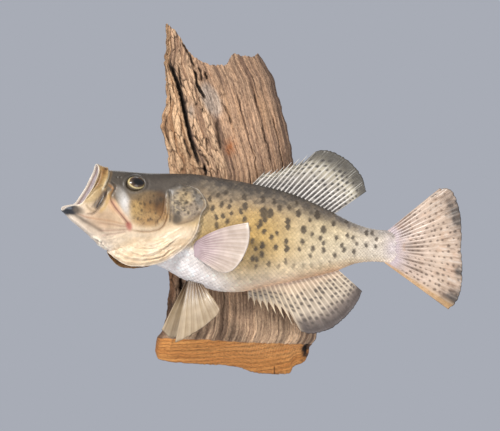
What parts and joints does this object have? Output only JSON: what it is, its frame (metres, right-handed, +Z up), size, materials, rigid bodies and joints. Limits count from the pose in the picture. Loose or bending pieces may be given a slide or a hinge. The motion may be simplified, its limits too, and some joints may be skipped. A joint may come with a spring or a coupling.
{
  "type": "mounted trophy fish",
  "caption": "Life-size mounted crappie with open mouth, flared gill covers and spread spotted fins, fixed to a split slab of weathered wood that hangs flat on a wall.",
  "frame": {"origin": "on the flat back of the wooden slab, near its middle, where it bears on the wall", "axes": "+X from the jaws to the tail fin, +Z up, +Y into the wall, so the fish stands off the slab towards -Y with its left side to the room"},
  "size_m": [0.3592, 0.1038, 0.3206],
  "materials": {
    "skin": "dried, painted and lacquered fish skin, satin",
    "fin": "dried spotted fin, satin lacquer",
    "pale_fin": "dried pale fin, satin lacquer",
    "eye": "cast eye with painted iris, high gloss",
    "wood": "weathered grey-brown split face, fresh orange saw cut below",
    "steel": "zinc-plated sheet and nails, dull"
  },
  "bodies": {
    "root": {"head": "skin", "upper_jaw": "skin", "lower_jaw": "skin", "gill_cover_left": "skin", "gill_cover_right": "skin", "trunk": "skin", "tail": "skin", "eye_left": "eye", "eye_right": "eye", "dorsal_fin": "fin", "anal_fin": "fin", "tail_fin": "fin", "pectoral_fin_left": "pale_fin", "pectoral_fin_right": "pale_fin", "pelvic_fin_left": "pale_fin", "pelvic_fin_right": "pale_fin", "slab": "wood", "hanger": "steel", "hanger_nail_1": "steel", "hanger_nail_2": "steel"}
  },
  "joints": []
}
